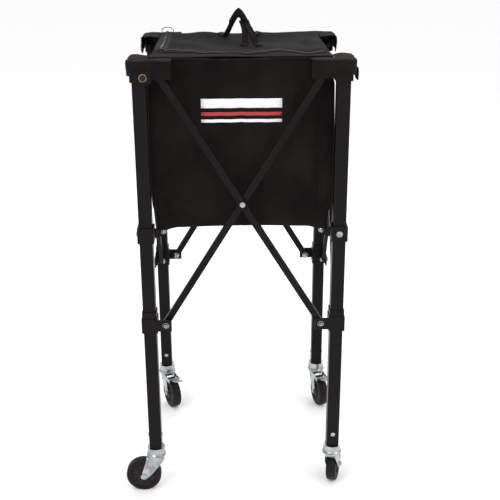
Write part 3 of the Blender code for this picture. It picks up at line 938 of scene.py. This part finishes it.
def build_sleeve(index, corner):
    outline = sleeve_outline()
    count = len(outline)
    low, high = 0.9075, LID_Z + 0.0022
    bm = bmesh.new()
    rows = []
    for layer in range(15):
        line = []
        for number, (x, y) in enumerate(outline):
            along = number / (count - 1)
            nx, ny = (-1, 0) if along < 0.42 else ((0, -1) if along > 0.58 else (-0.707, -0.707))
            if layer <= 9:
                up = layer / 9
                droop = 0.0030 * math.sin(along * 9 + index) * (1 - up)
                corner_lift = 0.004 * math.exp(-((along - 0.5) / 0.20) ** 2) * (1 - up) ** 2
                bulge = 0.0012 * math.sin(up * math.pi) + 0.0008 * math.sin(along * 23 + up * 5 + index * 2)
                point = (x + nx * bulge, y + ny * bulge, low + (high - low) * up - droop + corner_lift)
            else:
                inward = (layer - 9) / 5
                reach = 0.0385 * inward
                px = min(x + reach, 0.0165 if along < 0.5 else x) if along < 0.58 else x
                py = y + reach if along > 0.42 else y
                hump = 0.0016 * math.sin(inward * math.pi) + 0.001 * math.sin(along * 17 + inward * 6)
                point = (px, py, high + hump - 0.0015 * inward)
            line.append(bm.verts.new(point))
        rows.append(line)
    for first, second in zip(rows, rows[1:]):
        for number in range(count - 1):
            bm.faces.new((first[number], first[number + 1], second[number + 1], second[number]))
    sleeve = from_bmesh(f"corner_sleeve_cloth_{corner}", bm, SLEEVE_CLOTH)
    thick = sleeve.modifiers.new("cloth_thickness", "SOLIDIFY")
    thick.thickness = 0.0018
    thick.offset = -1.0
    smooth = sleeve.modifiers.new("smooth", "SUBSURF")
    smooth.levels = smooth.render_levels = 1
    applied(sleeve)
    sleeve.data.transform(corner_turn(index))
    ride_soft(sleeve, f"leg_{corner}", None, "bag_cloth", f"corner_sleeve_{corner}")


def stitch_line(name, start, stop, body, outward):
    """A row of short raised stitches between two points."""
    start, stop = Vector(start), Vector(stop)
    count = max(2, int((stop - start).length / 0.0034))
    bm = bmesh.new()
    aim = (stop - start).to_track_quat("X", "Z").to_matrix().to_4x4()
    for number in range(count):
        centre = start.lerp(stop, (number + 0.5) / count) + Vector(outward) * 0.0002
        size = Matrix.Diagonal((0.0023, 0.0007, 0.0007, 1.0))
        bmesh.ops.create_cube(bm, size=1.0, matrix=Matrix.Translation(centre) @ aim @ size)
    bmesh.ops.bevel(bm, geom=bm.edges[:], offset=0.0002, segments=1, affect="EDGES")
    row = from_bmesh(name, bm, WEBBING)
    ride_soft(row, body, None, "webbing")


def build_sleeve_trim(index, corner):
    """A strap end with a snap on the sleeve's first side, and its stitched seams."""
    leg = f"leg_{corner}"
    turn = corner_turn(index)
    strap = rounded_box((-0.0060, -0.0275, 0.9000), (0.0250, -0.0245, 0.9230), 0.0012)
    strap = from_bmesh(f"strap_end_{corner}", strap, WEBBING)
    strap.data.transform(turn)
    ride_soft(strap, leg, None, "webbing")
    ring = [(0.0048, 0.0002), (0.0050, 0.0012), (0.0056, 0.0017), (0.0062, 0.0012), (0.0065, 0.0)]
    stud = [(0.0, 0.0010), (0.0026, 0.0009), (0.0042, 0.0005), (0.0050, 0.0)]
    rings = [from_bmesh("ring", turned(ring, 32), SNAP), from_bmesh("stud", turned(stud, 32), HUB)]
    snap = joined(f"snap_{corner}", rings)
    snap.data.shade_smooth()
    aim = Vector((0, -1, 0)).to_track_quat("Z", "Y").to_matrix().to_4x4()
    snap.data.transform(turn @ Matrix.Translation((0.0095, -0.0275, 0.9105)) @ aim @ Matrix.Scale(1.2, 4))
    ride_soft(snap, leg, None, "zinc")
    spin = Matrix.Rotation(math.radians(90 * index), 3, "Z")
    front = spin @ Vector((0, -1, 0))
    for number, x in enumerate((0.030, 0.058)):
        low, high = corner_place(index, (x, -0.0256, 0.911)), corner_place(index, (x, -0.0256, 0.938))
        stitch_line(f"sleeve_stitch_{number}_{corner}", low, high, leg, front)


# ---- handle ----


def webbing_strip(name, points, half_width, half_thick):
    """A flat strap through 3D points, its width along X turning a little as it rises."""
    bm = bmesh.new()
    rings = []
    for index, point in enumerate(points):
        before, after = Vector(points[max(index - 1, 0)]), Vector(points[min(index + 1, len(points) - 1)])
        along = (after - before).normalized()
        twist = math.radians(22) * math.sin(math.pi * index / (len(points) - 1))
        wide = Matrix.Rotation(twist, 3, along) @ Vector((1, 0, 0))
        wide = (wide - along * wide.dot(along)).normalized()
        deep = along.cross(wide).normalized()
        ring = []
        for a, b in WEBBING_SECTION:
            ring.append(bm.verts.new(Vector(point) + wide * half_width * a + deep * half_thick * b))
        rings.append(ring)
    count = len(rings[0])
    for first, second in zip(rings, rings[1:]):
        for number in range(count):
            after = (number + 1) % count
            bm.faces.new((first[number], first[after], second[after], second[number]))
    bm.faces.new(rings[0])
    bm.faces.new(rings[-1])
    return from_bmesh(name, bm, WEBBING)


def build_handle():
    low, high = seated_box("carry_handle")
    top = Vector((-0.002, (low[1] + high[1]) / 2, high[2] - GRIP_DROP))
    pieces = []
    for loop, foot_y in enumerate((0.113, 0.021)):
        for side in (-1, 1):
            foot_x = side * 0.030 if loop == 0 else 0.0225 + side * 0.0115
            foot = Vector((foot_x, foot_y, lid_height(foot_x, foot_y) + STRAP_LIFT))
            flat_x = foot_x + side * (0.012 if loop == 0 else 0.006)
            flat_y = foot_y + (0.022 if loop == 0 else -0.011)
            tail = Vector((flat_x, flat_y, lid_height(flat_x, flat_y) + STRAP_LIFT))
            points = [tail, tail.lerp(foot, 0.6), foot]
            end = top + Vector((side * 0.0090, 0, -0.010) if loop == 0 else (0.011 + side * 0.004, 0, -0.016))
            for step in range(1, STRAND_STEPS + 1):
                t = step / STRAND_STEPS
                spot = foot.lerp(end, t)
                spot.x -= side * 0.0022 * math.sin(math.pi * t)
                spot.z += 0.004 * math.sin(math.pi * t)
                points.append(spot)
            pieces.append(webbing_strip("strand", points, 0.0068, 0.0013))
    handle = joined("handle_webbing", pieces)
    handle.data.shade_smooth()
    ride_soft(handle, "lid_rear", (1, 0, 0), "webbing", "carry_handle")
    rings = []
    bm = bmesh.new()
    for step in range(GRIP_STEPS + 1):
        t = step / GRIP_STEPS
        x = -0.0205 + 0.041 * t
        sag = -0.024 * abs(2 * t - 1) ** 1.5
        ring = []
        for number in range(GRIP_SIDES):
            angle = 2 * math.pi * number / GRIP_SIDES
            radius = 0.0092 * (1 + 0.09 * math.sin(3 * angle + 5 * t)) * (1 - 0.15 * abs(2 * t - 1) ** 4)
            y = top.y + radius * math.cos(angle)
            z = top.z + sag + 1.05 * radius * math.sin(angle)
            ring.append(bm.verts.new((top.x + x, y, z)))
        rings.append(ring)
    for first, second in zip(rings, rings[1:]):
        for number in range(GRIP_SIDES):
            after = (number + 1) % GRIP_SIDES
            bm.faces.new((first[number], first[after], second[after], second[number]))
    bm.faces.new(rings[0])
    bm.faces.new(rings[-1])
    wrap = from_bmesh("handle_grip_wrap", bm, SLEEVE_CLOTH)
    ride_soft(wrap, "lid_rear", (1, 0, 0))


# ---- the generic print ----


def stripe(half_width, low, high):
    """A plain centred bar in the front plane, as (x, z) points."""
    return [(-half_width, low), (half_width, low), (half_width, high), (-half_width, high)]


def print_patch(name, outlines, look, wall):
    """Flat outlines laid on the front wall: each is cut fine, then pushed on to the cloth along Y."""
    bm = bmesh.new()
    for outline in outlines:
        face = bm.faces.new([bm.verts.new((x, -BAG - 0.02, z)) for x, z in outline])
        bmesh.ops.triangulate(bm, faces=[face])
    for _ in range(4):
        long_edges = [edge for edge in bm.edges if edge.calc_length() > 0.006]
        if long_edges:
            bmesh.ops.subdivide_edges(bm, edges=long_edges, cuts=1)
            bmesh.ops.triangulate(bm, faces=bm.faces[:])
    surface = BVHTree.FromObject(wall, bpy.context.evaluated_depsgraph_get())
    for vert in bm.verts:
        hit = surface.ray_cast(Vector((vert.co.x, -BAG - 0.06, vert.co.z)), Vector((0, 1, 0)))[0]
        if hit:
            vert.co.y = hit.y - 0.0005
    for face in bm.faces:
        if face.normal.y > 0:
            face.normal_flip()
    mesh = bpy.data.meshes.new(name)
    bm.to_mesh(mesh)
    bm.free()
    mesh.shade_smooth()
    mesh.materials.append(look)
    patch = link(bpy.data.objects.new(name, mesh))
    thick = patch.modifiers.new("ink", "SOLIDIFY")
    thick.thickness = 0.0003
    thick.offset = -1.0
    applied(patch)
    ride_soft(patch, "leg_front_left", (1, 0, 0))


def build_print(wall):
    """Three plain centred stripes: a broad white one, a narrow red one and a narrow white one."""
    white = [stripe(PRINT_HALF_WIDTH, 0.844, 0.862), stripe(PRINT_HALF_WIDTH, 0.816, 0.822)]
    print_patch("print_stripes_white", white, WHITE_INK, wall)
    print_patch("print_stripe_red", [stripe(PRINT_HALF_WIDTH, 0.829, 0.836)], RED_INK, wall)


# ---- studio ----


def build_studio():
    scene = bpy.context.scene
    scene.view_settings.view_transform = "Standard"
    floor_look = Nodes("studio_floor", (0.97, 0.97, 0.97), 0.9)
    bpy.ops.mesh.primitive_plane_add(size=80)
    floor = bpy.context.object
    floor.name = "studio_floor"
    floor.data.materials.append(floor_look.material)
    world = scene.world or bpy.data.worlds.new("studio")
    scene.world = world
    world.use_nodes = True
    background = world.node_tree.nodes["Background"]
    background.inputs["Color"].default_value = (1.0, 1.0, 1.0, 1.0)
    background.inputs["Strength"].default_value = 1.0
    for name, where, size, power in (
        ("key", (-1.6, -2.2, 2.6), 1.6, 34.0),
        ("fill", (2.2, -1.6, 1.8), 1.8, 22.0),
        ("back", (0.4, 2.4, 2.4), 1.8, 22.0),
    ):
        data = bpy.data.lights.new(name, "AREA")
        data.energy = power
        data.size = size
        light = link(bpy.data.objects.new(name, data))
        light.location = Vector(where) + MIDDLE
        light.rotation_euler = (Vector((0, 0, 0.55)) - Vector(where)).to_track_quat("-Z", "Y").to_euler()


def build_camera():
    """The camera: fitted place, with 36 mm of film and no shift."""
    data = bpy.data.cameras.new("camera")
    data.lens = 64.9
    data.sensor_width = 36.0
    camera = link(bpy.data.objects.new("camera", data))
    camera.location = Vector((-0.0222, -1.8875, 1.1967)) + MIDDLE
    yaw, pitch, roll = 0.0217, 0.3591, 0.0043
    forward = Vector((math.sin(yaw) * math.cos(pitch), math.cos(yaw) * math.cos(pitch), -math.sin(pitch)))
    aim = forward.to_track_quat("-Z", "Y").to_matrix()
    camera.rotation_euler = (aim @ Matrix.Rotation(-roll, 3, "Z")).to_euler()
    bpy.context.scene.camera = camera


def main():
    build_camera()
    build_studio()
    finish_frame()
    build_screws()
    build_casters()
    walls = build_bag()
    build_print(walls[0])
    ride_walls(walls)
    build_piping()
    build_lid()
    build_pull_cord()
    for index, corner in enumerate(CORNERS):
        build_sleeve(index, corner)
        build_sleeve_trim(index, corner)
    build_handle()


main()
